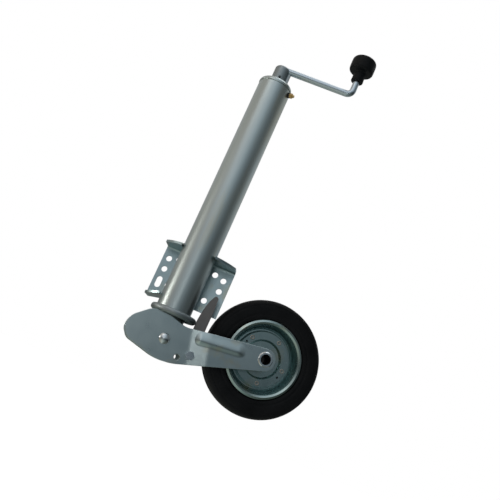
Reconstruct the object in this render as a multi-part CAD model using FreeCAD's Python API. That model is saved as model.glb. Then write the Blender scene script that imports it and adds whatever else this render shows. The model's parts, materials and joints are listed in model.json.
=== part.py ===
"""Retracting trailer tongue jack with a swing-up wheel, as separate solids.

Working frame while modelling: the tube axis is Z, Z = 0 is the lower end of the
outer tube, the bolted plate is on the +Y side and the wheel folds up towards +X.
Every solid is moved at the end, so that the row frame's origin is the centre of the
inner bolt rectangle on the plate's rear face.
"""
import FreeCAD, Part
import math
import os

V = FreeCAD.Vector
X_AXIS = V(1, 0, 0)
Y_AXIS = V(0, 1, 0)
Z_AXIS = V(0, 0, 1)

# ---- driving dimensions, millimetres and degrees -------------------------------------
# outer tube, its cap and the ring at its lower end
TUBE_R = 30.0                # standard 60 mm jockey wheel tube
TUBE_WALL = 3.0
TUBE_LENGTH = 446.0
CAP_TOP = 452.0
CAP_SKIRT = 5.0
CAP_SKIRT_R = 30.8
RING_R = 40.0
RING_X = 2.2                 # the ring sits a little off the tube's axis
RING_BOTTOM = -7.5
RING_TOP = 2.8
RING_LIP = 4.4
NIPPLE_Z = 434.5
NIPPLE_TURN = -15.0          # direction of the nipple about the tube, from +X

# mounting plate
PLATE_BACK_Y = 46.0          # tube axis to the plate's rear face
PLATE_THICK = 4.0
PLATE_LEFT, PLATE_RIGHT = -63.2, 66.2
PLATE_TOP = 111.0
PLATE_BOTTOM = 21.0          # lower edge on the wheel's side
LOW_FLANGE_X, LOW_FLANGE_Z = -58.5, 12.2   # outer lower corner of the short flange
FLANGE_SLOPE = 12.0          # rise of the short flange towards the tube
FLANGE_END_Y = 12.0          # free edge of a flange at its outer end
FLANGE_NOSE_Y = -24.0        # where that edge's arc would cross the tube's centre plane
FLANGE_BEND_R = 8.0
LOW_BEND_R = 3.5
BOLT_R = 5.25                # clearance for M10
OUTER_PITCH_X = 104.0
OUTER_PITCH_Z = 20.0
OUTER_ROW_TOP = 87.0
SLOT_CENTRE_Z = 42.5
SLOT_LENGTH = 20.5
INNER_PITCH_X = 69.0
INNER_PITCH_Z = 49.0
INNER_CENTRE_Z = 67.0
WELD_LEG = 3.5

# lifting screw, its bearing, nut and inner tube
SPINDLE_R = 10.0             # Tr 20 x 4 screw, modelled as a plain rod
SPINDLE_BOTTOM = 95.0
BALL_R = 3.5
BALL_Z = 432.25
BALL_CIRCLE_R = 15.5
BALL_COUNT = 11
RACE_R = 20.0
RACE_GAP_LOW, RACE_GAP_HIGH = 430.0, 434.5
COLLAR_R = 18.0
COLLAR_BOTTOM, COLLAR_TOP = 414.0, 424.0
NUT_NECK_R = 18.0
NUT_NECK_LENGTH = 30.0
NUT_FLANGE_HEIGHT = 8.0
INNER_R = 24.0
INNER_WALL = 2.5
INNER_TOP = 318.0
INNER_BOTTOM = -16.0
GUIDE_LENGTH = 40.0

# crank and knob
HUB_R = 14.0
HUB_TOP = 484.0
HUB_BORE_TOP = 470.0
ROLL_PIN_R = 2.5
ROLL_PIN_Z = 459.0
ROLL_PIN_TURN = 13.0         # the pin's direction about the hub, from -Y
ROLL_PIN_LENGTH = 22.0
ARM_BAR_R = 5.8
BAR_START = 8.0              # how far the bar reaches past the hub's axis
CRANK_HUB_Z = 481.5          # bar's centre line over the hub
CRANK_ELBOW_Z = 475.8        # the same line under the knob; the arm slopes down
CRANK_RADIUS = 133.0
CRANK_ANGLE = -5.9           # crank arm's resting direction about the tube
ELBOW_R = 10.0
KNOB_BOTTOM = 503.0
KNOB_TOP = 553.0
KNOB_R = 22.5
KNOB_BORE_DEPTH = 8.0        # solid crown above the bar

# folding fork; X and Z are in the fork's own plane before it is swivelled
SWIVEL_ANGLE = 13.5          # resting direction of the fork and wheel about the tube
PIVOT_X, PIVOT_Z = 3.0, -46.0
AXLE_X, AXLE_Z = 168.0, -11.6
LEVER_X, LEVER_Z = 50.8, -54.8
STOP_HOLE_X, STOP_HOLE_Z = 33.0, -65.0
STOP_HOLE_R = 4.75
PIN_R = 7.0
PIN_HEAD_R = 9.2
PIN_HEAD_HEIGHT = 4.2
CHEEK_THICK = 4.0
CAM_INNER_Y = 25.0           # half gap between the cheeks beside the tube
ARM_INNER_Y = 30.0           # half gap beside the wheel, past the joggle
JOGGLE_X, JOGGLE_Z = 47.2, -54.8   # a point on the joggle's first bend
JOGGLE_LEAN = 0.23           # sideways run of both bends per unit of height
JOGGLE_LENGTH = 33.0
RIB_START = (61.0, -25.5)
RIB_END = (120.0, -18.0)
RIB_SECTION_R = 14.0
RIB_START_RISE, RIB_END_RISE = 0.9, 2.0   # crest above the arm's flat face
EAR_INNER_Y, EAR_OUTER_Y = 15.0, 20.5
EAR_R = 19.0
PIVOT_BUSH_R = 9.0
LEVER_THICK = 5.0
LEVER_BOSS_R = 12.0
LEVER_BOLT_R = 4.0
LEVER_BOLT_SEAT_Y = 30.6
SLEEVE_R = 8.0
HEX_M8 = 13.0                # across flats
HEX_TURN = 8.0               # how far round the bolt head and nut have stopped

# wheel
WHEEL_R = 100.0
WHEEL_HALF_WIDTH = 25.0
RIM_R = 64.0
WELL_R = 57.3
SHEET = 1.6
AXLE_R = 10.0
AXLE_BORE_R = 7.5
AXLE_FLARE_R = 12.8
HUB_TUBE_R = 17.0
HUB_BUSH_R = 14.0
HUB_HALF_LENGTH = 27.0
VENT_CIRCLE_R = 40.0         # two small holes in each hub ring
VENT_R = 1.8
VENT_ANGLE = 154.0

RUN = 0.06                   # radial clearance of a running fit
GAP = 0.3                    # clearance between parts that pass each other
PAST = 5.0                   # how far a cutting tool runs past what it cuts

os.makedirs("parts", exist_ok=True)


# ---- helpers --------------------------------------------------------------------------
def cyl_x(radius, low, high, z):
    return Part.makeCylinder(radius, high - low, V(low, 0, z), X_AXIS)


def cyl_y(radius, low, high, x, z):
    return Part.makeCylinder(radius, high - low, V(x, low, z), Y_AXIS)


def cyl_z(radius, low, high, x=0.0):
    return Part.makeCylinder(radius, high - low, V(x, 0, low), Z_AXIS)


def ring_y(outer, inner, low, high, x, z):
    return cyl_y(outer, low, high, x, z).cut(cyl_y(inner, low - PAST, high + PAST, x, z))


def ring_z(outer, inner, low, high, x=0.0):
    return cyl_z(outer, low, high, x).cut(cyl_z(inner, low - PAST, high + PAST, x))


def box(x0, x1, y0, y1, z0, z1):
    return Part.makeBox(x1 - x0, y1 - y0, z1 - z0, V(x0, y0, z0))


def turned(shape, angle):
    """Turn a shape about the tube axis."""
    shape.rotate(V(0, 0, 0), Z_AXIS, angle)
    return shape


def mirror_y(shape):
    return shape.mirror(V(0, 0, 0), Y_AXIS)


def polygon(points):
    return Part.Face(Part.makePolygon(points + points[:1]))


def outline_face(parts):
    """Face from a list of edges given as ('line', a, b) or ('arc', a, mid, b)."""
    edges = []
    for kind, *points in parts:
        curve = Part.LineSegment if kind == "line" else Part.Arc
        edges.append(curve(*points).toShape())
    return Part.Face(Part.Wire(edges))


def corner_arc(before, here, after, radius):
    """Start, middle and end of the arc that rounds the corner at the middle point."""
    back, on = before - here, after - here
    half = back.getAngle(on) / 2
    back.normalize()
    on.normalize()
    middle = back + on
    middle.normalize()
    reach = radius / math.tan(half)
    depth = radius / math.sin(half) - radius
    return here + back * reach, here + middle * depth, here + on * reach


def rounded_plate(corners, low, high):
    """Sheet between two Y planes, its outline given as (x, z, corner radius)."""
    points = [V(x, low, z) for x, z, radius in corners]
    count = len(corners)
    arcs = [corner_arc(points[i - 1], points[i], points[(i + 1) % count], corners[i][2])
            for i in range(count)]
    parts = []
    for arc, following in zip(arcs, arcs[1:] + arcs[:1]):
        parts.append(("arc", *arc))
        parts.append(("line", arc[2], following[0]))
    return outline_face(parts).extrude(V(0, high - low, 0))


def spin_z(profile, x=0.0):
    """Full turn about an upright axis of a closed (radius, z) outline."""
    face = polygon([V(x + r, 0, z) for r, z in profile])
    return face.revolve(V(x, 0, 0), Z_AXIS, 360)


def spin_axle(profile):
    """Full turn about the wheel axle of a closed (radius, y) outline."""
    face = polygon([V(AXLE_X + r, y, AXLE_Z) for r, y in profile])
    return face.revolve(V(AXLE_X, 0, AXLE_Z), Y_AXIS, 360)


def thicken(path, thickness):
    """Closed outline of a sheet whose one face follows the open path."""
    normals = []
    for (r0, y0), (r1, y1) in zip(path, path[1:]):
        length = math.hypot(r1 - r0, y1 - y0)
        normals.append(((y1 - y0) / length, (r0 - r1) / length))
    offset = []
    for i, (r, y) in enumerate(path):
        a = normals[max(i - 1, 0)]
        b = normals[min(i, len(normals) - 1)]
        nr, ny = a[0] + b[0], a[1] + b[1]
        scale = 2 * thickness / (nr * nr + ny * ny)
        offset.append((r + nr * scale, y + ny * scale))
    return path + offset[::-1]


def hexagon_y(across_flats, low, high, x, z):
    radius = across_flats / math.sqrt(3)
    corners = []
    for k in range(6):
        angle = math.radians(60 * k + HEX_TURN)
        corners.append(V(x + radius * math.cos(angle), low, z + radius * math.sin(angle)))
    return polygon(corners).extrude(V(0, high - low, 0))


# ---- outer tube and what is fixed to it -------------------------------------------------
def outer_tube():
    tube = ring_z(TUBE_R, TUBE_R - TUBE_WALL, 0, TUBE_LENGTH)
    return tube.cut(turned(cyl_x(3.0, TUBE_R - TUBE_WALL - PAST, TUBE_R + PAST, NIPPLE_Z), NIPPLE_TURN))


def top_cap():
    """Pressed cup closing the tube, with a bore for the spindle's bush."""
    cup = cyl_z(CAP_SKIRT_R, TUBE_LENGTH - CAP_SKIRT, CAP_TOP)
    rim = [e for e in cup.Edges if e.Closed and e.BoundBox.ZMin > CAP_TOP - 0.01]
    cup = cup.makeFillet(CAP_TOP - TUBE_LENGTH, rim)
    cup = cup.cut(cyl_z(TUBE_R, TUBE_LENGTH - CAP_SKIRT - PAST, TUBE_LENGTH))
    cup = cup.cut(cyl_z(TUBE_R - TUBE_WALL, TUBE_LENGTH - PAST, TUBE_LENGTH + 2))
    return cup.cut(cyl_z(13.0, TUBE_LENGTH - PAST, CAP_TOP + PAST))


def top_bush():
    return ring_z(13.0, SPINDLE_R + RUN, TUBE_LENGTH + 2, CAP_TOP)


def bottom_ring():
    """Rolled ring with a rounded lip, welded round the end of the tube."""
    ring = cyl_z(RING_R, RING_BOTTOM, RING_TOP, RING_X)
    lip = [e for e in ring.Edges if e.Closed and e.BoundBox.XLength > 2 * TUBE_R]
    return ring.makeFillet(RING_LIP, lip).cut(cyl_z(TUBE_R, RING_BOTTOM - PAST, RING_TOP + PAST))


def flange():
    """Flat flange with a bowed free edge that stops at the sides of the tube."""
    left, right, back = PLATE_LEFT, PLATE_RIGHT, PLATE_BACK_Y
    face = outline_face([
        ("arc", V(left, FLANGE_END_Y, 0), V(0, FLANGE_NOSE_Y, 0), V(right, FLANGE_END_Y, 0)),
        ("line", V(right, FLANGE_END_Y, 0), V(right, back, 0)),
        ("line", V(right, back, 0), V(left, back, 0)),
        ("line", V(left, back, 0), V(left, FLANGE_END_Y, 0))])
    slab = face.extrude(V(0, 0, PLATE_THICK))
    return slab.cut(box(-TUBE_R - 0.5, TUBE_R + 0.5, FLANGE_NOSE_Y - PAST, 3, -1, PLATE_THICK + 1))


def place_low(shape):
    """Move a flat shape to the short flange's corner and slope it up to the tube."""
    shape.translate(V(0, 0, LOW_FLANGE_Z))
    shape.rotate(V(LOW_FLANGE_X, 0, LOW_FLANGE_Z), Y_AXIS, -FLANGE_SLOPE)
    return shape


def mounting_plate():
    """Bolted plate with a full top flange and a short sloping one below, bent forward."""
    left, right, low = PLATE_LEFT, PLATE_RIGHT, PLATE_BOTTOM
    front = PLATE_BACK_Y - PLATE_THICK
    low_x, low_z = LOW_FLANGE_X, LOW_FLANGE_Z
    slope_end = low_x + (low - low_z) / math.tan(math.radians(FLANGE_SLOPE))
    outline = polygon([V(left, front, low), V(low_x, front, low), V(low_x, front, low_z),
                       V(slope_end, front, low), V(right, front, low),
                       V(right, front, PLATE_TOP), V(left, front, PLATE_TOP)])
    top_flange = flange()
    top_flange.translate(V(0, 0, PLATE_TOP - PLATE_THICK))
    side_room = box(low_x, slope_end, FLANGE_NOSE_Y - PAST, PLATE_BACK_Y, 0, PLATE_TOP)
    low_flange = place_low(flange()).common(side_room)
    plate = outline.extrude(V(0, PLATE_THICK, 0)).fuse([top_flange, low_flange]).removeSplitter()

    def bend_edges(y, z):
        return [e for e in plate.Edges
                if e.BoundBox.XLength > (slope_end - low_x) / 2 and e.BoundBox.YLength < 0.01
                and abs(e.BoundBox.YMin - y) < 0.01 and abs(e.BoundBox.ZMin - z) < 0.01]

    plate = plate.makeFillet(FLANGE_BEND_R, bend_edges(PLATE_BACK_Y, PLATE_TOP))
    inner_r = FLANGE_BEND_R - PLATE_THICK
    plate = plate.makeFillet(inner_r, bend_edges(front, PLATE_TOP - PLATE_THICK))
    plate = plate.makeFillet(LOW_BEND_R, bend_edges(PLATE_BACK_Y, low_z))
    plate = plate.cut(cyl_z(TUBE_R, 0, PLATE_TOP + PAST))

    def hole(x, z):
        return cyl_y(BOLT_R, front - PAST, PLATE_BACK_Y + PAST, x, z)

    slot_half = SLOT_LENGTH / 2 - BOLT_R
    slot_low, slot_high = SLOT_CENTRE_Z - slot_half, SLOT_CENTRE_Z + slot_half
    holes = []
    for side in (-1, 1):
        outer_x = side * OUTER_PITCH_X / 2
        inner_x = side * INNER_PITCH_X / 2
        holes += [hole(outer_x, OUTER_ROW_TOP), hole(outer_x, OUTER_ROW_TOP - OUTER_PITCH_Z),
                  hole(inner_x, INNER_CENTRE_Z - INNER_PITCH_Z / 2),
                  hole(inner_x, INNER_CENTRE_Z + INNER_PITCH_Z / 2),
                  hole(outer_x, slot_low), hole(outer_x, slot_high),
                  box(outer_x - BOLT_R, outer_x + BOLT_R, front - PAST, PLATE_BACK_Y + PAST,
                      slot_low, slot_high)]
    for cutter in holes:
        plate = plate.cut(cutter)
    return plate


def weld_beads():
    """Fillet welds round the tube, above the top flange and under the lower one."""
    upper = polygon([V(TUBE_R, 0, PLATE_TOP), V(TUBE_R + WELD_LEG, 0, PLATE_TOP),
                     V(TUBE_R, 0, PLATE_TOP + WELD_LEG)])
    upper.rotate(V(0, 0, 0), Z_AXIS, -10)
    upper = upper.revolve(V(0, 0, 0), Z_AXIS, 200)
    lower = polygon([V(TUBE_R - 2, 0, 0), V(TUBE_R + WELD_LEG, 0, 0), V(TUBE_R - 2, 0, -WELD_LEG - 1)])
    lower.rotate(V(0, 0, 0), Z_AXIS, 135)
    lower = place_low(lower.revolve(V(0, 0, 0), Z_AXIS, 60))
    return Part.makeCompound([upper, lower.cut(cyl_z(TUBE_R, 0, PLATE_TOP))])


def grease_nipple():
    """Screwed nipple: thread, hexagon, neck and ball end."""
    shank = cyl_x(3.0, TUBE_R - TUBE_WALL, TUBE_R + 2.5, NIPPLE_Z)
    corners = []
    for k in range(6):
        angle = math.radians(60 * k)
        corners.append(V(TUBE_R + 2.5, 4.6 * math.cos(angle), NIPPLE_Z + 4.6 * math.sin(angle)))
    body = polygon(corners).extrude(V(5.0, 0, 0))
    neck = cyl_x(2.2, TUBE_R + 7.0, TUBE_R + 10.5, NIPPLE_Z)
    head = Part.makeCone(3.1, 2.2, 2.5, V(TUBE_R + 8.5, 0, NIPPLE_Z), X_AXIS)
    return turned(shank.fuse([body, neck, head]), NIPPLE_TURN)


def nipple_washer():
    washer = cyl_x(5.0, TUBE_R + 0.5, TUBE_R + 2.5, NIPPLE_Z)
    return turned(washer.cut(cyl_x(3.0, TUBE_R, TUBE_R + PAST, NIPPLE_Z)), NIPPLE_TURN)


def ball_groove():
    return Part.makeTorus(BALL_CIRCLE_R, BALL_R + RUN, V(0, 0, BALL_Z), Z_AXIS)


def bearing_upper_race():
    return ring_z(RACE_R, SPINDLE_R + 1.0, RACE_GAP_HIGH, TUBE_LENGTH + 2).cut(ball_groove())


def bearing_lower_race():
    return ring_z(RACE_R, SPINDLE_R, COLLAR_TOP, RACE_GAP_LOW).cut(ball_groove())


def bearing_balls():
    balls = []
    for k in range(BALL_COUNT):
        angle = 2 * math.pi * k / BALL_COUNT
        centre = V(BALL_CIRCLE_R * math.cos(angle), BALL_CIRCLE_R * math.sin(angle), BALL_Z)
        balls.append(Part.makeSphere(BALL_R, centre))
    return Part.makeCompound(balls)


def lower_guide_bush():
    """Plastic bush in the mouth of the outer tube that guides the inner tube."""
    return ring_z(TUBE_R - TUBE_WALL, INNER_R + RUN, 0, GUIDE_LENGTH)


# ---- crank and lifting screw --------------------------------------------------------------
def pin_hole():
    return turned(cyl_y(ROLL_PIN_R, -2 * HUB_R, 2 * HUB_R, 0, ROLL_PIN_Z), ROLL_PIN_TURN)


def bar_line():
    """Start of the crank bar and the corner under the knob."""
    over_hub = V(0, 0, CRANK_HUB_Z)
    corner = V(CRANK_RADIUS, 0, CRANK_ELBOW_Z)
    along = corner - over_hub
    along.normalize()
    return over_hub - along * BAR_START, corner


def spindle():
    return cyl_z(SPINDLE_R, SPINDLE_BOTTOM, HUB_BORE_TOP).cut(pin_hole())


def spindle_collar():
    return ring_z(COLLAR_R, SPINDLE_R, COLLAR_BOTTOM, COLLAR_TOP)


def crank_hub():
    """Sleeve pinned to the spindle, with a cross bore for the crank bar."""
    hub = cyl_z(HUB_R, CAP_TOP + 2 * GAP, HUB_TOP)
    rim = [e for e in hub.Edges if e.Closed and e.BoundBox.ZMin > HUB_TOP - 0.01]
    hub = hub.makeFillet(5.0, rim)
    hub = hub.cut([cyl_z(SPINDLE_R, CAP_TOP - PAST, HUB_BORE_TOP), pin_hole()])
    gusset = box(HUB_R - 3, HUB_R + 3.5, -3.0, 3.0, CAP_TOP + 2, CRANK_HUB_Z)
    start, corner = bar_line()
    bar_room = Part.makeCylinder(ARM_BAR_R, 4 * HUB_R, start, corner - start)
    return hub.fuse(gusset).cut(bar_room)


def roll_pin():
    half = ROLL_PIN_LENGTH / 2
    pin = cyl_y(ROLL_PIN_R, -half, half, 0, ROLL_PIN_Z)
    return turned(pin.cut(cyl_y(ROLL_PIN_R - 1, -HUB_R, HUB_R, 0, ROLL_PIN_Z)), ROLL_PIN_TURN)


def crank_arm():
    """Round bar let into the hub's top, bent up once for the knob."""
    start, corner = bar_line()
    end = V(CRANK_RADIUS, 0, KNOB_TOP - KNOB_BORE_DEPTH - 1)
    bend = corner_arc(start, corner, end, ELBOW_R)
    path = Part.Wire([Part.LineSegment(start, bend[0]).toShape(), Part.Arc(*bend).toShape(),
                      Part.LineSegment(bend[2], end).toShape()])
    section = Part.Wire(Part.Circle(start, corner - start, ARM_BAR_R).toShape())
    return path.makePipeShell([section], True, True)


def knob():
    """Mushroom knob: flared sleeve round the bar under a domed head."""
    head = KNOB_BOTTOM + 21
    shoulder = KNOB_TOP - 12
    profile = [(0, KNOB_BOTTOM), (10.0, KNOB_BOTTOM), (11.2, KNOB_BOTTOM + 2),
               (10.8, KNOB_BOTTOM + 12), (11.8, head - 2), (18.0, head + 1),
               (21.5, head + 4), (KNOB_R, head + 8), (KNOB_R, shoulder + 2)]
    for angle in (35, 50, 65, 78):
        turn = math.radians(angle)
        profile.append((0.97 * KNOB_R * math.cos(turn), shoulder + 12 * math.sin(turn)))
    profile.append((0, KNOB_TOP))
    bore_top = KNOB_TOP - KNOB_BORE_DEPTH
    bore = cyl_z(ARM_BAR_R + RUN, KNOB_BOTTOM - PAST, bore_top, CRANK_RADIUS)
    washer_room = cyl_z(9.0, bore_top - 6.2, bore_top, CRANK_RADIUS)
    return spin_z(profile, CRANK_RADIUS).cut([bore, washer_room])


def knob_retainer():
    """Push-on washer that keeps the knob on the bar."""
    top = KNOB_TOP - KNOB_BORE_DEPTH - 3
    return ring_z(8.4, ARM_BAR_R, top - 2.6, top, CRANK_RADIUS)


# ---- nut carriage ---------------------------------------------------------------------------
def spindle_nut():
    """Flanged nut on the screw; its neck sits in the top of the inner tube."""
    flange = ring_z(INNER_R, SPINDLE_R + RUN, INNER_TOP + GAP, INNER_TOP + NUT_FLANGE_HEIGHT)
    neck = ring_z(NUT_NECK_R, SPINDLE_R + RUN, INNER_TOP - NUT_NECK_LENGTH, INNER_TOP + 1)
    return flange.fuse(neck)


def nut_guide_ring():
    """Plastic ring round the nut's flange that slides in the outer tube."""
    return ring_z(TUBE_R - TUBE_WALL - RUN, INNER_R, INNER_TOP + GAP,
                  INNER_TOP + NUT_FLANGE_HEIGHT)


# ---- inner tube, which slides and swivels ------------------------------------------------------
def inner_tube():
    return ring_z(INNER_R, INNER_R - INNER_WALL, INNER_BOTTOM, INNER_TOP)


def swivel_bush():
    """Bush fixed in the inner tube's top that turns on the nut's neck."""
    return ring_z(INNER_R - INNER_WALL, NUT_NECK_R + RUN, INNER_TOP - NUT_NECK_LENGTH + 2,
                  INNER_TOP)


def foot_bracket():
    """Disc closing the inner tube, with two ears down to the pivot."""
    top = INNER_BOTTOM - 5
    foot = cyl_z(INNER_R, top, INNER_BOTTOM)
    half = math.sqrt(INNER_R ** 2 - EAR_OUTER_Y ** 2)
    for low, high in ((EAR_INNER_Y, EAR_OUTER_Y), (-EAR_OUTER_Y, -EAR_INNER_Y)):
        blade = polygon([V(-half, low, top), V(half, low, top), V(PIVOT_X + EAR_R, low, PIVOT_Z),
                         V(PIVOT_X - EAR_R, low, PIVOT_Z)])
        foot = foot.fuse([cyl_y(EAR_R, low, high, PIVOT_X, PIVOT_Z),
                          blade.extrude(V(0, high - low, 0))])
    bore = cyl_y(PIVOT_BUSH_R, -INNER_R, INNER_R, PIVOT_X, PIVOT_Z)
    return foot.cut(bore).removeSplitter()


def pivot_bushes():
    """Two headed bushes, pressed into the ears, that carry the pivot pin."""
    sleeve = ring_y(PIVOT_BUSH_R, PIN_R + RUN, EAR_INNER_Y, EAR_OUTER_Y, PIVOT_X, PIVOT_Z)
    head = ring_y(13.0, PIN_R + RUN, EAR_OUTER_Y, CAM_INNER_Y - GAP, PIVOT_X, PIVOT_Z)
    bush = sleeve.fuse(head).removeSplitter()
    return Part.makeCompound([bush, mirror_y(bush)])


def lock_cam():
    """Notched disc between the ears that the release lever latches into."""
    disc = ring_y(EAR_R - 1, PIN_R + RUN, -3.0, 3.0, PIVOT_X, PIVOT_Z)
    sleeve = ring_y(11.0, PIN_R + RUN, -EAR_INNER_Y, EAR_INNER_Y, PIVOT_X, PIVOT_Z)
    notch = box(PIVOT_X - 4, PIVOT_X + 4, -4, 4, PIVOT_Z - EAR_R - 1, PIVOT_Z - EAR_R + 5)
    return disc.fuse(sleeve).cut(notch)


# ---- folding fork ------------------------------------------------------------------------------
def cheek_blank(low, high):
    """Cam head round the pivot, running into the tapered arm to the axle."""
    from_pivot = [(-55.5, -21.6, 16.0), (-66.6, -6.5, 16.0), (-64.6, 12.6, 25.0),
                  (-36.5, 37.9, 25.0), (-7.0, 37.7, 30.0), (24.0, 30.1, 30.0),
                  (177.6, 54.6, 17.0), (185.9, 21.2, 17.0), (11.0, -37.4, 90.0)]
    return rounded_plate([(PIVOT_X + x, PIVOT_Z + z, r) for x, z, r in from_pivot], low, high)


def cheek_rib():
    """Pressed stiffening rib, starting on the joggle and fading out towards the axle."""
    face_y = -ARM_INNER_Y - CHEEK_THICK
    start = V(RIB_START[0], face_y - RIB_START_RISE + RIB_SECTION_R, RIB_START[1])
    end = V(RIB_END[0], face_y - RIB_END_RISE + RIB_SECTION_R, RIB_END[1])
    along = end - start
    rib = Part.makeCylinder(RIB_SECTION_R, along.Length, start, along)
    return rib.fuse([Part.makeSphere(RIB_SECTION_R, start), Part.makeSphere(RIB_SECTION_R, end)])


def joggled_sheet(thickness):
    """Uncut sheet on the -Y side: flat, then a slanted outward joggle, then flat again."""
    low, height = PIVOT_Z - 60, 140
    first = JOGGLE_X + JOGGLE_LEAN * (JOGGLE_Z - low)
    second = first + JOGGLE_LENGTH
    left, right = PIVOT_X - 70, AXLE_X + 70
    inner, outer = -CAM_INNER_Y, -ARM_INNER_Y
    section = [(left, inner), (first, inner), (second, outer), (right, outer),
               (right, outer - thickness), (second, outer - thickness),
               (first, inner - thickness), (left, inner - thickness)]
    face = polygon([V(x, y, low) for x, y in section])
    return face.extrude(V(-JOGGLE_LEAN * height, 0, height))


def front_cheek():
    """Cam head and joggled, ribbed arm, with its holes."""
    through = -ARM_INNER_Y - 3 * CHEEK_THICK
    cheek = joggled_sheet(CHEEK_THICK).common(cheek_blank(through, 0))
    rib = cheek_rib().common(joggled_sheet(2 * CHEEK_THICK))
    cheek = cheek.fuse(rib).removeSplitter()
    return cheek.cut([cyl_y(PIN_R, through, 0, PIVOT_X, PIVOT_Z),
                      cyl_y(AXLE_R, through, 0, AXLE_X, AXLE_Z),
                      cyl_y(STOP_HOLE_R, through, 0, STOP_HOLE_X, STOP_HOLE_Z),
                      cyl_y(LEVER_BOLT_R, through, 0, LEVER_X, LEVER_Z)])


def rear_cheek():
    return mirror_y(front_cheek())


def pivot_pin():
    """Riveted pin with a domed head on each side."""
    reach = CAM_INNER_Y + CHEEK_THICK
    top = reach + PIN_HEAD_HEIGHT
    sphere_r = (PIN_HEAD_R ** 2 + PIN_HEAD_HEIGHT ** 2) / (2 * PIN_HEAD_HEIGHT)
    ball = Part.makeSphere(sphere_r, V(PIVOT_X, top - sphere_r, PIVOT_Z))
    head = ball.common(cyl_y(PIN_HEAD_R + 1, reach, top, PIVOT_X, PIVOT_Z))
    pin = cyl_y(PIN_R, -reach, reach, PIVOT_X, PIVOT_Z)
    return pin.fuse([head, mirror_y(head)])


def lever_bolt():
    seat = LEVER_BOLT_SEAT_Y
    shank = cyl_y(LEVER_BOLT_R, -seat, seat + 9.5, LEVER_X, LEVER_Z)
    return shank.fuse(hexagon_y(HEX_M8, -seat - 5.3, -seat, LEVER_X, LEVER_Z))


def lever_nut():
    seat = LEVER_BOLT_SEAT_Y
    nut = hexagon_y(HEX_M8, seat, seat + 6.5, LEVER_X, LEVER_Z)
    return nut.cut(cyl_y(LEVER_BOLT_R, seat - PAST, seat + 10, LEVER_X, LEVER_Z))


def lever_sleeve():
    return ring_y(SLEEVE_R, LEVER_BOLT_R, -CAM_INNER_Y, CAM_INNER_Y, LEVER_X, LEVER_Z)


def axle_tube():
    """Tube through both cheeks and the hub, its ends flared over the cheeks."""
    reach = ARM_INNER_Y + CHEEK_THICK
    flare = [(AXLE_BORE_R + 1.2, reach + 2.6), (AXLE_BORE_R + 3.6, reach + 2.6),
             (AXLE_FLARE_R, reach + 1.0), (AXLE_FLARE_R, reach), (AXLE_R, reach)]
    profile = [(AXLE_BORE_R, reach)] + flare
    profile += [(r, -y) for r, y in flare[::-1]] + [(AXLE_BORE_R, -reach)]
    return spin_axle(profile)


def axle_spacers():
    one = ring_y(15.0, AXLE_R, HUB_HALF_LENGTH + GAP, ARM_INNER_Y, AXLE_X, AXLE_Z)
    return Part.makeCompound([one, mirror_y(one)])


# ---- release lever ---------------------------------------------------------------------------
def release_lever():
    """Tongue-shaped sheet on the lower bolt, rising past the tube's ring."""
    half = LEVER_THICK / 2
    from_bolt = [(-11.0, -6.0, 6.0), (-8.2, 28.0, 60.0), (-8.2, 60.0, 80.0),
                 (-3.8, 90.0, 60.0), (4.4, 108.8, 3.0), (10.4, 107.0, 3.0),
                 (11.5, 80.0, 100.0), (11.0, 20.0, 60.0), (11.6, -6.0, 6.0)]
    blade = rounded_plate([(LEVER_X + x, LEVER_Z + z, r) for x, z, r in from_bolt], -half, half)
    tooth = box(PIVOT_X + EAR_R + 2, LEVER_X, -half, half, PIVOT_Z - 7, PIVOT_Z - 1)
    boss = cyl_y(LEVER_BOSS_R, -10, 10, LEVER_X, LEVER_Z)
    bore = cyl_y(SLEEVE_R + RUN, -10 - PAST, 10 + PAST, LEVER_X, LEVER_Z)
    return blade.fuse([tooth, boss]).cut(bore).removeSplitter()


def lever_spring():
    """Torsion spring round the sleeve, beside the lever's boss."""
    coil_r = 9.6
    helix = Part.makeHelix(2.4, 12.0, coil_r)
    section = Part.Wire(Part.Circle(V(coil_r, 0, 0), Y_AXIS, 0.9).toShape())
    spring = Part.Wire(helix).makePipeShell([section], True, True)
    spring.rotate(V(0, 0, 0), X_AXIS, -90)
    spring.translate(V(LEVER_X, 12.0, LEVER_Z))
    return spring


# ---- wheel --------------------------------------------------------------------------------------
def tyre():
    """Solid rubber tyre with bulged sides and a rounded tread."""
    r, w = WHEEL_R, WHEEL_HALF_WIDTH
    bead_r = RIM_R + 2.6

    def p(radius, y):
        return V(AXLE_X + radius, y, AXLE_Z)

    def side(s):
        shoulder = p(r - 9, s * (w - 1.2))
        tread_edge = p(r - 0.8, s * (w - 12))
        wall = ("arc", p(bead_r, s * (w - 1.6)), p(RIM_R + 14, s * w), shoulder)
        return [wall, ("arc", shoulder, p(r - 2.4, s * (w - 5.5)), tread_edge)]

    tread = [("arc", p(r - 0.8, -(w - 12)), p(r, 0), p(r - 0.8, w - 12))]
    rear = [(kind, *points[::-1]) for kind, *points in side(1)[::-1]]
    bead = [p(bead_r, w - 1.6), p(bead_r, 18.0), p(RIM_R - 3.4, 16.5), p(WELL_R, 6.0),
            p(WELL_R, -6.0), p(RIM_R - 3.4, -16.5), p(bead_r, -18.0), p(bead_r, -(w - 1.6))]
    bead_lines = [("line", a, b) for a, b in zip(bead, bead[1:])]
    face = outline_face(side(-1) + tread + rear + bead_lines)
    return face.revolve(V(AXLE_X, 0, AXLE_Z), Y_AXIS, 360)


def rim_front():
    """Pressed front rim half: curled lip, deep well and flat web."""
    path = [(HUB_TUBE_R, 0.0), (51.0, 0.0), (54.5, -3.0), (56.0, -7.5), (58.8, -18.5),
            (60.0, -22.0), (61.8, -23.2), (63.8, -22.0), (64.4, -19.6)]
    return spin_axle(thicken(path, SHEET))


def rim_rear():
    return mirror_y(rim_front())


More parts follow.
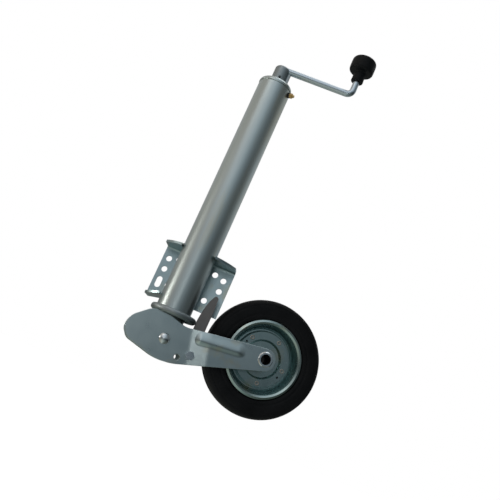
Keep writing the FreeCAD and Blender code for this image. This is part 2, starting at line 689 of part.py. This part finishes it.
def hub_ring_front():
    """Stamped ring spot-welded to the web round the hub's recess."""
    path = [(HUB_TUBE_R, -4.2), (31.0, -4.2), (34.0, -8.6), (44.6, -8.6), (46.6, -3.6),
            (46.6, -1.8)]
    ring = spin_axle(thicken(path, SHEET))
    for angle in (VENT_ANGLE, VENT_ANGLE + 180):
        turn = math.radians(angle)
        x = AXLE_X + VENT_CIRCLE_R * math.cos(turn)
        z = AXLE_Z + VENT_CIRCLE_R * math.sin(turn)
        ring = ring.cut(cyl_y(VENT_R, -20, 0, x, z))
    return ring


def hub_ring_rear():
    return mirror_y(hub_ring_front())


def hub_tube():
    return ring_y(HUB_TUBE_R, HUB_BUSH_R, -HUB_HALF_LENGTH, HUB_HALF_LENGTH, AXLE_X, AXLE_Z)


def hub_bushes():
    one = ring_y(HUB_BUSH_R, AXLE_R + RUN, 9.0, HUB_HALF_LENGTH, AXLE_X, AXLE_Z)
    return Part.makeCompound([one, mirror_y(one)])


# ---- placing and writing ---------------------------------------------------------------------
FIXED = [outer_tube, top_cap, top_bush, bottom_ring, mounting_plate, weld_beads, grease_nipple,
         nipple_washer, bearing_upper_race, bearing_balls, lower_guide_bush, spindle_nut,
         nut_guide_ring]
CRANKED = [spindle, spindle_collar, bearing_lower_race, crank_hub, roll_pin, crank_arm, knob,
           knob_retainer]
SWIVELLED = [inner_tube, swivel_bush, foot_bracket, pivot_bushes, lock_cam, front_cheek,
             rear_cheek, pivot_pin, lever_bolt, lever_nut, lever_sleeve, axle_tube,
             axle_spacers, release_lever, lever_spring, tyre, rim_front, rim_rear,
             hub_ring_front, hub_ring_rear, hub_tube, hub_bushes]

for makers, turn in ((FIXED, 0.0), (CRANKED, CRANK_ANGLE), (SWIVELLED, SWIVEL_ANGLE)):
    for make in makers:
        shape = make()
        shape.rotate(V(0, 0, 0), Z_AXIS, turn)
        shape.translate(V(0, -PLATE_BACK_Y, -INNER_CENTRE_Z))
        print(make.__name__, len(shape.Solids), "solid(s)", round(shape.Volume), "mm3",
              "ok" if shape.isValid() else "INVALID")
        shape.exportStep("parts/" + make.__name__ + ".step")
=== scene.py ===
import json
import math

import bmesh
import bpy
from mathutils import Matrix, Vector


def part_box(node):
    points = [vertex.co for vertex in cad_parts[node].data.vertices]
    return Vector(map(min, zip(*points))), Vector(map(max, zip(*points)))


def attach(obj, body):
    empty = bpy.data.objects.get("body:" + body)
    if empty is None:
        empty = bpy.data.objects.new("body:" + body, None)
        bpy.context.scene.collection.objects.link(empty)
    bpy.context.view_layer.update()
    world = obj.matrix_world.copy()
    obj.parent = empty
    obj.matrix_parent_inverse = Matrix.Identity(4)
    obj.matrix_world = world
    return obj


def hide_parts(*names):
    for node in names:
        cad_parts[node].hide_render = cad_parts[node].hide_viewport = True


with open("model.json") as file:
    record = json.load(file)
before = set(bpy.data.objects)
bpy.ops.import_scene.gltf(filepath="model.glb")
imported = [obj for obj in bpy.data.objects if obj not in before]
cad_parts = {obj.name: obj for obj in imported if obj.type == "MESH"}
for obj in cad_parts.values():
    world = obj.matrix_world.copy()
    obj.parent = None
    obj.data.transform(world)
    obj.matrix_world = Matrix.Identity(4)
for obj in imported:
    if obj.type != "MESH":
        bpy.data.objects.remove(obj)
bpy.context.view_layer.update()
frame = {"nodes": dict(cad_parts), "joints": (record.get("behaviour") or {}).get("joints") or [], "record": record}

NODES = frame["nodes"]
JOINTS = {joint["name"]: joint for joint in frame["joints"]}

# ---- places read from the frame, metres ---------------------------------------------------
TUBE_LOW, TUBE_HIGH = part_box("outer_tube")
TUBE_X = (TUBE_LOW.x + TUBE_HIGH.x) / 2
TUBE_Y = (TUBE_LOW.y + TUBE_HIGH.y) / 2
TUBE_BASE = TUBE_LOW.z
TUBE_R = (TUBE_HIGH.x - TUBE_LOW.x) / 2
PIVOT = Vector(JOINTS["fork_fold"]["pos_m"])
AXLE = Vector(JOINTS["wheel_spin"]["pos_m"])
LEVER = Vector(JOINTS["lever_release"]["pos_m"])
AXLE_DIR = Vector(JOINTS["wheel_spin"]["axis"]).normalized()
SIDE = Vector((AXLE_DIR.y, -AXLE_DIR.x, 0.0))    # level, and square to the axle
UP = Vector((0, 0, 1))
FRONT, REAR = -1, 1                              # sides of the fork along the axle
MM = 0.001

# ---- studio brightness --------------------------------------------------------------------
# AROUND goes round the jack from the left through the front, the right and the back;
# UPWARDS goes from straight down to straight up. The two are multiplied.
AROUND = [(0.0, (0.40, 0.37, 0.33)), (0.086, (0.43, 0.39, 0.35)), (0.150, (0.52, 0.51, 0.51)),
          (0.205, (0.63, 0.65, 0.67)), (0.250, (0.54, 0.58, 0.61)), (0.313, (0.31, 0.36, 0.39)),
          (0.375, (0.17, 0.19, 0.20)), (0.450, (0.10, 0.11, 0.11)), (0.520, (0.16, 0.17, 0.17)),
          (0.580, (0.36, 0.38, 0.38)), (0.750, (0.52, 0.53, 0.54)), (1.0, (0.40, 0.37, 0.33))]
UPWARDS = [(0.0, (0.80, 0.82, 0.70)), (0.24, (0.62, 0.64, 0.55)), (0.38, (0.22, 0.23, 0.22)),
           (0.45, (0.17, 0.18, 0.18)), (0.53, (0.32, 0.34, 0.35)), (0.62, (1.0, 1.0, 1.0)),
           (1.0, (1.1, 1.1, 1.1))]

# ---- camera and floor, metres and degrees -------------------------------------------------
CAMERA_PLACE = (0.1627, -1.0542, -0.0910)        # from the centre of the tube's lower end
CAMERA_AZIMUTH, CAMERA_ELEVATION, CAMERA_ROLL = -4.686, 12.699, 23.585
CAMERA_LENS, CAMERA_SENSOR = 46.02, 36.0         # millimetres
FLOOR_HALF, FLOOR_LEVEL = 9.0, -0.66

# ---- cheek plate, millimetres in fork coordinates -----------------------------------------
SHEET_INNER, SHEET_OUTER = 25.0, 29.0            # faces of the flat head, from the fork's middle
CELL_INNER, CELL_OUTER = 1.9, 1.5                # cell size on each face
EDGE_INSET, EDGE_SHOULDER = 0.55, 0.16           # softly sheared edge
JOGGLE_START, JOGGLE_LENGTH, JOGGLE_DEPTH = 47.2, 33.0, 5.0
JOGGLE_SLANT, JOGGLE_LEVEL = 0.23, -54.8         # lean of the bend, and the height of its start
RIB_START, RIB_END = Vector((58.0, -26.0)), Vector((120.0, -18.5))
RIB_ABOVE, RIB_BELOW = 17.0, 8.5                 # reach of the rib's flanks either side of its crest
RIB_LEAD_IN, RIB_RUN_OUT = 11.0, 15.0            # reach of its two ends
RIB_HEIGHT, RIB_RISE, RIB_RISE_LENGTH = 6.2, 0.9, 35.0
PIVOT_HOLE, AXLE_HOLE, STOP_HOLE, LEVER_HOLE = 7.0, 10.0, 4.75, 4.0
STOP_PLACE = (33.0, -65.0)
# corners of the blank, from the pivot: x, z and corner radius
BLANK = [(-55.5, -21.6, 16), (-66.6, -6.5, 16), (-64.6, 12.6, 25), (-36.5, 37.9, 25),
         (-7.0, 37.7, 30), (24.0, 30.1, 30), (177.6, 54.6, 17), (185.9, 21.2, 17),
         (11.0, -37.4, 90)]

# ---- other pieces built for their looks, millimetres --------------------------------------
CAP_HOLE, CAP_UNDERSIDE = 13.05, -5.9            # bore, and underside measured from the top face
CAP_SHOULDER_WIDTH, CAP_SHOULDER_DROP = 12.0, 9.0
TUBE_CLEARANCE = 0.02
SPOT_WELDS, SPOT_RING_RADIUS, SPOT_FACE, SPOT_TURN = 5, 40.2, 10.2, 65
# radius, thickness and reach of the axle bore's near-black lining, which is painted shade
BORE_RADIUS, BORE_LINING, BORE_REACH = 7.5, 0.08, 36.0


def fork_space():
    """Matrix from fork coordinates (x along the fork, y along the axle, z up) to the part's own."""
    space = Matrix((SIDE, AXLE_DIR, UP)).transposed().to_4x4()
    space.translation = Vector((TUBE_X, TUBE_Y, TUBE_BASE))
    return space


# ---- camera, light and floor --------------------------------------------------------------
def add_camera():
    """A camera a metre in front, rolled so that the upright jack leans to the right."""
    dx, dy, dz = CAMERA_PLACE
    place = Vector((TUBE_X + dx, TUBE_Y + dy, TUBE_BASE + dz))
    azimuth, elevation = math.radians(CAMERA_AZIMUTH), math.radians(CAMERA_ELEVATION)
    roll = math.radians(CAMERA_ROLL)
    forward = Vector((math.sin(azimuth) * math.cos(elevation),
                      math.cos(azimuth) * math.cos(elevation), math.sin(elevation)))
    level = forward.cross(UP).normalized()
    above = level.cross(forward)
    right = level * math.cos(roll) + above * math.sin(roll)
    up = above * math.cos(roll) - level * math.sin(roll)
    data = bpy.data.cameras.new("camera")
    data.lens = CAMERA_LENS
    data.sensor_width = CAMERA_SENSOR
    camera = bpy.data.objects.new("camera", data)
    turn = Matrix((right, up, -forward)).transposed().to_4x4()
    camera.matrix_world = Matrix.Translation(place) @ turn
    bpy.context.scene.collection.objects.link(camera)
    bpy.context.scene.camera = camera


def add_light(name, place, target, size, power, colour):
    """Soft rectangular lamp aimed at a point."""
    data = bpy.data.lights.new(name, "AREA")
    data.shape = "RECTANGLE"
    data.size, data.size_y = size
    data.energy = power
    data.color = colour
    lamp = bpy.data.objects.new(name, data)
    lamp.location = place
    lamp.rotation_euler = (Vector(target) - Vector(place)).to_track_quat("-Z", "Y").to_euler()
    bpy.context.scene.collection.objects.link(lamp)


def background(nodes):
    shader = nodes.new("ShaderNodeBackground")
    shader.inputs["Strength"].default_value = 1.0
    return shader


def add_world():
    """White where the world is seen directly; a soft graded studio for light and reflections."""
    world = bpy.data.worlds.new("studio")
    bpy.context.scene.world = world
    world.use_nodes = True
    tree = world.node_tree
    nodes, links = tree.nodes, tree.links
    nodes.clear()
    output = nodes.new("ShaderNodeOutputWorld")
    seen, lit = background(nodes), background(nodes)
    seen.inputs["Color"].default_value = (1, 1, 1, 1)
    coord = nodes.new("ShaderNodeTexCoord")
    radial = nodes.new("ShaderNodeTexGradient")
    radial.gradient_type = "RADIAL"
    links.new(coord.outputs["Generated"], radial.inputs["Vector"])
    around = ramp(tree, radial.outputs["Fac"], AROUND)
    split = nodes.new("ShaderNodeSeparateXYZ")
    links.new(coord.outputs["Generated"], split.inputs[0])
    lift = nodes.new("ShaderNodeMapRange")
    lift.inputs["From Min"].default_value = -1.0
    lift.inputs["From Max"].default_value = 1.0
    links.new(split.outputs["Z"], lift.inputs["Value"])
    height = ramp(tree, lift.outputs["Result"], UPWARDS)
    product = nodes.new("ShaderNodeMix")
    product.data_type = "RGBA"
    product.blend_type = "MULTIPLY"
    product.inputs["Factor"].default_value = 1.0
    links.new(around, product.inputs["A"])
    links.new(height, product.inputs["B"])
    links.new(product.outputs["Result"], lit.inputs["Color"])
    path = nodes.new("ShaderNodeLightPath")
    mix = nodes.new("ShaderNodeMixShader")
    links.new(path.outputs["Is Camera Ray"], mix.inputs["Fac"])
    links.new(lit.outputs[0], mix.inputs[1])
    links.new(seen.outputs[0], mix.inputs[2])
    links.new(mix.outputs[0], output.inputs["Surface"])


def add_floor():
    """Plain pale floor, lit from within so that it stays even, and not seen in reflections."""
    mesh = bpy.data.meshes.new("floor")
    corners = [(x * FLOOR_HALF, y * FLOOR_HALF, FLOOR_LEVEL)
               for x, y in ((-1, -1), (1, -1), (1, 1), (-1, 1))]
    mesh.from_pydata(corners, [], [(0, 1, 2, 3)])
    floor = bpy.data.objects.new("floor", mesh)
    bpy.context.scene.collection.objects.link(floor)
    material = bpy.data.materials.new("floor_pale")
    material.use_nodes = True
    shader = material.node_tree.nodes["Principled BSDF"]
    shader.inputs["Base Color"].default_value = (0.9, 0.9, 0.9, 1)
    shader.inputs["Roughness"].default_value = 0.9
    shader.inputs["Emission Color"].default_value = (1, 1, 1, 1)
    shader.inputs["Emission Strength"].default_value = 0.85
    mesh.materials.append(material)
    floor.visible_glossy = False


# ---- material helpers ---------------------------------------------------------------------
def new_material(name):
    material = bpy.data.materials.new(name)
    material.use_nodes = True
    tree = material.node_tree
    return material, tree, tree.nodes["Principled BSDF"]


def noise(tree, scale, detail=4.0, stretch=(1, 1, 1)):
    """Noise in the piece's own coordinates, as a number from 0 to 1."""
    coord = tree.nodes.new("ShaderNodeTexCoord")
    mapping = tree.nodes.new("ShaderNodeMapping")
    mapping.inputs["Scale"].default_value = stretch
    texture = tree.nodes.new("ShaderNodeTexNoise")
    texture.inputs["Scale"].default_value = scale
    texture.inputs["Detail"].default_value = detail
    texture.inputs["Roughness"].default_value = 0.55
    tree.links.new(coord.outputs["Object"], mapping.inputs["Vector"])
    tree.links.new(mapping.outputs["Vector"], texture.inputs["Vector"])
    return texture.outputs["Fac"]


def ramp(tree, value, stops):
    """Colour looked up from (position, colour) stops."""
    node = tree.nodes.new("ShaderNodeValToRGB")
    elements = node.color_ramp.elements
    while len(elements) < len(stops):
        elements.new(0.5)
    for element, (position, colour) in zip(elements, stops):
        element.position = position
        element.color = (*colour, 1)
    tree.links.new(value, node.inputs["Fac"])
    return node.outputs["Color"]


def spread(tree, value, low, high):
    """The middle of a noise's range stretched from low to high."""
    node = tree.nodes.new("ShaderNodeMapRange")
    node.inputs["From Min"].default_value = 0.3
    node.inputs["From Max"].default_value = 0.7
    node.inputs["To Min"].default_value = low
    node.inputs["To Max"].default_value = high
    tree.links.new(value, node.inputs["Value"])
    return node.outputs["Result"]


def bump(tree, shader, value, strength, distance):
    """Fine surface relief: it changes the shading and not the mesh."""
    node = tree.nodes.new("ShaderNodeBump")
    node.inputs["Strength"].default_value = strength
    node.inputs["Distance"].default_value = distance
    tree.links.new(value, node.inputs["Height"])
    tree.links.new(node.outputs["Normal"], shader.inputs["Normal"])


def plated_steel(name, cool, warm, rough, stretch=(1, 1, 1), depth=0.00006):
    """Metal with a cool base, warmer clouds, and hazy gloss over a fine grain."""
    material, tree, shader = new_material(name)
    shader.inputs["Metallic"].default_value = 1.0
    clouds = noise(tree, 22.0, 5.0, stretch)
    colour = ramp(tree, clouds, [(0.35, cool), (0.55, cool), (0.72, warm)])
    tree.links.new(colour, shader.inputs["Base Color"])
    haze = noise(tree, 60.0, 6.0, stretch)
    tree.links.new(spread(tree, haze, *rough), shader.inputs["Roughness"])
    bump(tree, shader, noise(tree, 900.0, 3.0, stretch), 0.14, depth)
    return material


def moulded(name, colour, rough, grain, depth, gloss=0.5):
    """Rubber or plastic: one dark colour, faintly mottled, with a moulded grain."""
    material, tree, shader = new_material(name)
    shade = tuple(c * 1.6 + 0.0015 for c in colour)
    shader.inputs["Specular IOR Level"].default_value = gloss
    mottle = ramp(tree, noise(tree, 35.0), [(0.3, colour), (0.8, shade)])
    tree.links.new(mottle, shader.inputs["Base Color"])
    tree.links.new(spread(tree, noise(tree, 90.0, 5.0), *rough), shader.inputs["Roughness"])
    bump(tree, shader, noise(tree, grain, 3.0), 0.5, depth)
    return material


# cool colour, warm colour and roughness range; then stretch or depth where they differ
METALS = {
    "zinc_tube": ((0.56, 0.64, 0.65), (0.60, 0.57, 0.45), (0.30, 0.42), (1, 1, 0.12)),
    "zinc_sheet": ((0.56, 0.66, 0.68), (0.62, 0.60, 0.47), (0.27, 0.34)),
    "zinc_rim": ((0.40, 0.51, 0.51), (0.50, 0.51, 0.42), (0.20, 0.30)),
    "lever_steel": ((0.31, 0.29, 0.285), (0.35, 0.32, 0.29), (0.5, 0.64)),
    "burnt_zinc": ((0.46, 0.43, 0.38), (0.36, 0.26, 0.16), (0.35, 0.5)),
    "hub_zinc": ((0.36, 0.41, 0.43), (0.38, 0.38, 0.34), (0.42, 0.55)),
    "bar_zinc": ((0.60, 0.70, 0.78), (0.60, 0.66, 0.70), (0.24, 0.34)),
    "plate_zinc": ((0.44, 0.56, 0.60), (0.52, 0.54, 0.44), (0.28, 0.38)),
    "weld": ((0.42, 0.44, 0.42), (0.40, 0.34, 0.24), (0.35, 0.6), (1, 1, 1), 0.0004),
    "bolt_zinc": ((0.74, 0.80, 0.84), (0.74, 0.72, 0.60), (0.16, 0.28)),
    "inner_steel": ((0.30, 0.34, 0.33), (0.30, 0.26, 0.18), (0.3, 0.5)),
    "bearing_steel": ((0.5, 0.5, 0.51), (0.52, 0.5, 0.46), (0.12, 0.2)),
    # painted shade: the near-black lining inside the axle bore
    "bore_painted_shade": ((0.015, 0.014, 0.013), (0.03, 0.022, 0.015), (0.6, 0.8)),
    "bronze": ((0.55, 0.38, 0.18), (0.42, 0.28, 0.13), (0.28, 0.4)),
    "brass": ((0.72, 0.50, 0.22), (0.55, 0.36, 0.16), (0.22, 0.35)),
}
# colour, roughness range, grain scale and depth; then gloss where it differs
MOULDINGS = {
    "guide_plastic": ((0.55, 0.54, 0.50), (0.45, 0.6), 500.0, 0.00005),
    "knob_plastic": ((0.0015, 0.002, 0.0024), (0.38, 0.55), 700.0, 0.0001, 0.16),
    "rubber": ((0.0015, 0.0018, 0.0022), (0.50, 0.68), 420.0, 0.00018, 0.14),
    "black_rubber": ((0.008, 0.008, 0.008), (0.5, 0.6), 500.0, 0.0001),
}
MATERIALS = {name: plated_steel(name, *values) for name, values in METALS.items()}
MATERIALS.update({name: moulded(name, *values) for name, values in MOULDINGS.items()})

# ---- finish of the CAD nodes --------------------------------------------------------------
NODE_SLOTS = {part["node"]: part["material_slot"] for part in frame["record"]["subparts"]}
OWN_FINISH = {"crank_hub": "hub_zinc", "crank_arm": "bar_zinc", "mounting_plate": "plate_zinc",
              "bottom_ring": "hub_zinc"}
# widths in millimetres of the bevels on edges that are seen
EDGE_WIDTHS = {"mounting_plate": 0.5, "release_lever": 0.7, "lever_bolt": 0.5, "lever_nut": 0.5,
               "rim_front": 0.5, "rim_rear": 0.5, "hub_ring_front": 0.6, "hub_ring_rear": 0.6,
               "crank_arm": 0.4, "crank_hub": 0.5, "grease_nipple": 0.3, "axle_tube": 0.4}
EDGE_ANGLE = 25


def dress_frame():
    """Procedural material on every CAD node, and softly broken edges on the ones seen."""
    for name, node in NODES.items():
        material = MATERIALS[OWN_FINISH.get(name, NODE_SLOTS[name])]
        if not node.material_slots:
            node.data.materials.append(material)
        for slot in node.material_slots:
            slot.material = material
        if name in EDGE_WIDTHS:
            edge = node.modifiers.new("edge", "BEVEL")
            edge.width = EDGE_WIDTHS[name] * MM
            edge.segments = 2
            edge.limit_method = "ANGLE"
            edge.angle_limit = math.radians(EDGE_ANGLE)


# ---- pieces built for their looks ---------------------------------------------------------
def smooth_path(points, steps=6):
    """Evenly rounded curve through (radius, height) points."""
    out = []
    ends = [points[0]] + points + [points[-1]]
    for a, b, c, d in zip(ends, ends[1:], ends[2:], ends[3:]):
        for k in range(steps):
            t = k / steps
            out.append(tuple(0.5 * (2 * q + (r - p) * t + (2 * p - 5 * q + 4 * r - s) * t * t
                                    + (3 * q - p - 3 * r + s) * t * t * t)
                             for p, q, r, s in zip(a, b, c, d)))
    return out + [points[-1]]


def lathe(name, profile, place, steps=128):
    """Mesh turned about local Z from (radius, height) in millimetres, then placed."""
    bm = bmesh.new()
    rings = []
    for radius, height in profile:
        if radius == 0:
            rings.append([bm.verts.new((0, 0, height * MM))])
            continue
        rings.append([bm.verts.new((radius * MM * math.cos(2 * math.pi * k / steps),
                                    radius * MM * math.sin(2 * math.pi * k / steps), height * MM))
                      for k in range(steps)])
    for low, high in zip(rings, rings[1:]):
        for k in range(steps):
            corners = [low[k % len(low)], low[(k + 1) % len(low)],
                       high[(k + 1) % len(high)], high[k % len(high)]]
            bm.faces.new(list(dict.fromkeys(corners)))
    for face in bm.faces:
        face.smooth = True
    bmesh.ops.recalc_face_normals(bm, faces=bm.faces)
    return finish_piece(name, bm, place)


def finish_piece(name, bm, place):
    """Object from the mesh being built, with its placement made part of the mesh."""
    bmesh.ops.transform(bm, matrix=place, verts=bm.verts)
    mesh = bpy.data.meshes.new(name)
    bm.to_mesh(mesh)
    bm.free()
    piece = bpy.data.objects.new(name, mesh)
    bpy.context.scene.collection.objects.link(piece)
    return piece


def dress(piece, body, material):
    """Finish a new piece with the named material and fix it to a body."""
    piece.data.materials.append(MATERIALS[material])
    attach(piece, body)


def turned_to(axis, origin):
    """Matrix that stands local Z along the axis."""
    turned = Vector(axis).to_track_quat("Z", "Y").to_matrix().to_4x4()
    turned.translation = origin
    return turned


def build_knob():
    """Plastic knob: a narrow neck below a barrel with a rounded top, bored from below."""
    low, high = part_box("knob")
    centre = JOINTS["knob_spin"]["pos_m"]
    tall = (high.z - low.z) / MM
    profile = smooth_path([(9.8, 0.4), (11.0, 2.0), (10.8, 8.0), (10.8, 15.0), (11.6, 18.4),
                           (15.0, 19.6), (19.6, 20.6), (21.6, 23.0), (22.1, 26.5), (22.2, 33.0),
                           (22.1, 39.5), (21.4, 43.4), (18.6, 46.4), (12.0, 48.6), (6.0, tall - 0.5),
                           (0.0, tall - 0.2)])
    profile = [(6.3, 14.0), (6.3, 0.6), (7.6, 0.1)] + profile    # the bore comes first
    knob = lathe("knob_moulding", profile, Matrix.Translation((centre[0], centre[1], low.z)))
    dress(knob, "knob_grip", "knob_plastic")
    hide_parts("knob")


def build_cap():
    """Pressed top cap with a rounded shoulder over the tube's end."""
    low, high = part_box("top_cap")
    skirt = (low.z - high.z) / MM
    outer = (high.x - low.x) / 2 / MM
    inner = TUBE_R / MM + TUBE_CLEARANCE
    bore = [(CAP_HOLE, CAP_UNDERSIDE), (CAP_HOLE, -0.5), (CAP_HOLE + 0.5, 0.0)]
    shoulder = [(outer - CAP_SHOULDER_WIDTH * (1 - math.sin(math.radians(a))),
                 -CAP_SHOULDER_DROP * (1 - math.cos(math.radians(a)))) for a in range(0, 91, 9)]
    lip = [(outer, skirt + 0.4), (outer - 0.3, skirt), (inner, skirt), (inner, CAP_UNDERSIDE)]
    profile = bore + shoulder + lip + bore[:1]
    cap = lathe("cap_pressing", profile, Matrix.Translation((TUBE_X, TUBE_Y, high.z)))
    dress(cap, "housing", "zinc_tube")
    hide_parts("top_cap")


def build_tyre():
    """Smooth tyre with fine moulded rings on its sidewalls and a mould line on the tread."""
    # (radius, distance from the middle) from the rim out to the middle of the tread
    half = [(57.6, 0.0), (57.6, 5.0), (60.8, 16.2), (66.9, 17.6), (66.9, 22.6), (67.8, 23.5),
            (71.0, 24.2), (74.0, 24.6), (74.6, 24.2), (75.2, 24.65), (80.0, 24.8), (86.0, 24.5),
            (89.4, 24.0), (90.0, 23.5), (90.6, 23.8), (93.0, 23.0), (96.0, 20.8), (98.2, 17.0),
            (99.2, 12.0), (99.7, 6.0), (99.75, 1.0), (99.9, 0.3)]
    profile = half + [(r, -w) for r, w in half[::-1]]
    tyre = lathe("tyre_moulding", profile, turned_to(AXLE_DIR, AXLE), 220)
    dress(tyre, "wheel", "rubber")
    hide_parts("tyre")


def build_spot_welds():
    """Shallow electrode marks on the front and rear hub rings."""
    mark = [(0.0, -0.02), (1.5, 0.0), (2.3, 0.10), (2.9, 0.30), (3.5, 0.18), (3.9, 0.0)]
    for side, face in ((FRONT, "front"), (REAR, "rear")):
        for k in range(SPOT_WELDS):
            angle = math.radians(SPOT_TURN + 360 / SPOT_WELDS * k)
            out = SIDE * math.cos(angle) + UP * math.sin(angle)
            place = AXLE + out * SPOT_RING_RADIUS * MM + AXLE_DIR * side * SPOT_FACE * MM
            weld = lathe("spot_weld_%s_%d" % (face, k), mark, turned_to(AXLE_DIR * side, place), 28)
            dress(weld, "wheel", "burnt_zinc")


def rounded_loop(corners, step=1.3):
    """Closed path through (x, z, radius) corners, with arcs, sampled every step millimetres."""
    path = []
    for k, (x, z, r) in enumerate(corners):
        here = Vector((x, z))
        back = (Vector(corners[k - 1][:2]) - here).normalized()
        ahead = (Vector(corners[(k + 1) % len(corners)][:2]) - here).normalized()
        half = back.angle(ahead) / 2
        centre = here + (back + ahead).normalized() * (r / math.sin(half))
        start = here + back * (r / math.tan(half)) - centre
        sweep = start.angle_signed(here + ahead * (r / math.tan(half)) - centre)
        pieces = max(3, int(abs(sweep) * r / step))
        for i in range(pieces + 1):
            path.append(centre + Matrix.Rotation(-sweep * i / pieces, 2) @ start)
    dense = []
    for p, q in zip(path, path[1:] + path[:1]):
        count = max(1, int((q - p).length / step))
        dense += [p + (q - p) * (i / count) for i in range(count)]
    return dense


def round_hole(x, z, radius, steps=40):
    """Closed loop of points round a circle."""
    return [Vector((x + radius * math.cos(2 * math.pi * k / steps),
                    z + radius * math.sin(2 * math.pi * k / steps))) for k in range(steps)]


def shifted(loop, distance):
    """The loop moved to its left-hand side by a distance."""
    out = []
    for k, point in enumerate(loop):
        run = loop[(k + 1) % len(loop)] - loop[k - 1]
        out.append(point + Vector((-run.y, run.x)).normalized() * distance)
    return out


def area(loop):
    """Signed area of a loop, positive where it runs anticlockwise."""
    return sum(p.x * q.y - q.x * p.y for p, q in zip(loop, loop[1:] + loop[:1])) / 2


def sheet_face(bm, loops, depth, pitch):
    """Flat face with holes, cut into small cells so that it can be pressed into shape."""
    part = bmesh.new()
    edges = []
    for loop in loops:
        verts = [part.verts.new((p.x, depth, p.y)) for p in loop]
        edges += [part.edges.new((a, b)) for a, b in zip(verts, verts[1:] + verts[:1])]
    bmesh.ops.triangle_fill(part, use_beauty=True, use_dissolve=False, edges=edges)
    for axis in (0, 2):
        low = min(v.co[axis] for v in part.verts)
        high = max(v.co[axis] for v in part.verts)
        normal = Vector((axis == 0, 0, axis == 2))
        for k in range(1, int((high - low) / pitch) + 1):
            geometry = part.verts[:] + part.edges[:] + part.faces[:]
            cut = normal * (low + k * pitch)
            bmesh.ops.bisect_plane(part, geom=geometry, plane_co=cut, plane_no=normal)
    mesh = bpy.data.meshes.new("cells")
    part.to_mesh(mesh)
    part.free()
    bm.from_mesh(mesh)
    bpy.data.meshes.remove(mesh)


def clamped(value):
    return min(1, max(0, value))


def joggle(x, z):
    """Outward step of the sheet: a slope whose two bends are softened by averaging."""
    start = JOGGLE_START + JOGGLE_SLANT * (JOGGLE_LEVEL - z)
    slopes = [clamped((x - start) / JOGGLE_LENGTH + 0.022 * k) for k in range(-4, 5)]
    return JOGGLE_DEPTH * sum(slopes) / len(slopes)


def cheek_press(x, z):
    """How far the sheet is pressed outward: the slanted joggle and the rib blended into it."""
    step = joggle(x, z)
    length = (RIB_END - RIB_START).length
    along = (RIB_END - RIB_START).normalized()
    across = Vector((-along.y, along.x))
    run = (Vector((x, z)) - RIB_START).dot(along)
    off = (Vector((x, z)) - RIB_START).dot(across)
    flank = off / (RIB_ABOVE if off > 0 else RIB_BELOW)
    beyond = max(-run / RIB_LEAD_IN, (run - length) / RIB_RUN_OUT, 0.0)
    reach = math.hypot(flank, beyond)
    if reach >= 1:
        return step
    crest = RIB_HEIGHT + RIB_RISE * clamped(run / RIB_RISE_LENGTH)
    return step + (crest - step) * math.cos(math.pi / 2 * reach) ** 2


def cheek_loops(space):
    """Outline of the flat cheek and its four holes, wound so that metal lies to the left."""
    pivot, axle, lever = (space.inverted() @ place / MM for place in (PIVOT, AXLE, LEVER))
    outer = rounded_loop([(pivot.x + x, pivot.z + z, radius) for x, z, radius in BLANK])
    holes = [round_hole(pivot.x, pivot.z, PIVOT_HOLE), round_hole(axle.x, axle.z, AXLE_HOLE),
             round_hole(*STOP_PLACE, STOP_HOLE), round_hole(lever.x, lever.z, LEVER_HOLE)]
    loops = [outer if area(outer) > 0 else outer[::-1]]
    return loops + [hole[::-1] if area(hole) > 0 else hole for hole in holes]


def build_cheek(name, node, side):
    """Pressed cheek plate with softly sheared edges, on one side of the fork."""
    space = fork_space()
    loops = cheek_loops(space)
    bm = bmesh.new()
    inset = [shifted(loop, EDGE_INSET) for loop in loops]
    sheet_face(bm, inset, SHEET_INNER, CELL_INNER)
    sheet_face(bm, inset, SHEET_OUTER, CELL_OUTER)
    rings = [(EDGE_INSET, SHEET_INNER), (EDGE_SHOULDER, SHEET_INNER + EDGE_SHOULDER),
             (0.0, SHEET_INNER + EDGE_INSET), (0.0, SHEET_OUTER - EDGE_INSET),
             (EDGE_SHOULDER, SHEET_OUTER - EDGE_SHOULDER), (EDGE_INSET, SHEET_OUTER)]
    for loop in loops:
        rows = [[bm.verts.new((p.x, depth, p.y)) for p in shifted(loop, edge)] for edge, depth in rings]
        for low, high in zip(rows, rows[1:]):
            for k in range(len(loop)):
                bm.faces.new([low[k - 1], low[k], high[k], high[k - 1]])
    for vert in bm.verts:
        x, y, z = vert.co
        vert.co = Vector((x, side * (y + cheek_press(x, z)), z)) * MM
    for face in bm.faces:
        face.smooth = True
    bmesh.ops.recalc_face_normals(bm, faces=bm.faces)
    cheek = finish_piece(name, bm, space)
    dress(cheek, "fork", "zinc_sheet")
    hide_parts(node)


def build_bore_painted_shade():
    """Near-black lining inside the axle tube's bore: painted shade that stands in for the darkness seen down the
    bore.
    """
    inner = BORE_RADIUS - BORE_LINING
    profile = [(BORE_RADIUS, -BORE_REACH), (inner, -BORE_REACH), (inner, BORE_REACH),
               (BORE_RADIUS, BORE_REACH)]
    # a near-black sheet of painted shade inside the bore
    scale = lathe("axle_bore_painted_shade", profile, turned_to(AXLE_DIR, AXLE), 48)
    dress(scale, "fork", "bore_painted_shade")


# ---- the scene ----------------------------------------------------------------------------
bpy.context.scene.view_settings.view_transform = "Standard"
add_camera()
add_world()
add_floor()
# name, place, target, size in metres, watts and colour
add_light("key", (-1.4, -1.8, 2.0), (0, 0, 0.1), (1.2, 1.2), 2.5, (1, 0.98, 0.95))
add_light("top", (0.3, 0.2, 2.4), (0, 0, 0.1), (1.6, 1.2), 5, (1, 1, 1))
add_light("low", (0.02, -2.4, -0.06), (0.05, -0.05, -0.12), (0.36, 0.30), 1.0, (1, 0.985, 0.94))
add_light("left", (-2.3, -0.7, -0.15), (0, 0, -0.1), (0.7, 0.5), 9, (1, 0.95, 0.86))
dress_frame()
build_knob()
build_cap()
build_tyre()
build_spot_welds()
build_cheek("front_cheek_pressing", "front_cheek", FRONT)
build_cheek("rear_cheek_pressing", "rear_cheek", REAR)
# the axle bore's lining is painted shade
build_bore_painted_shade()
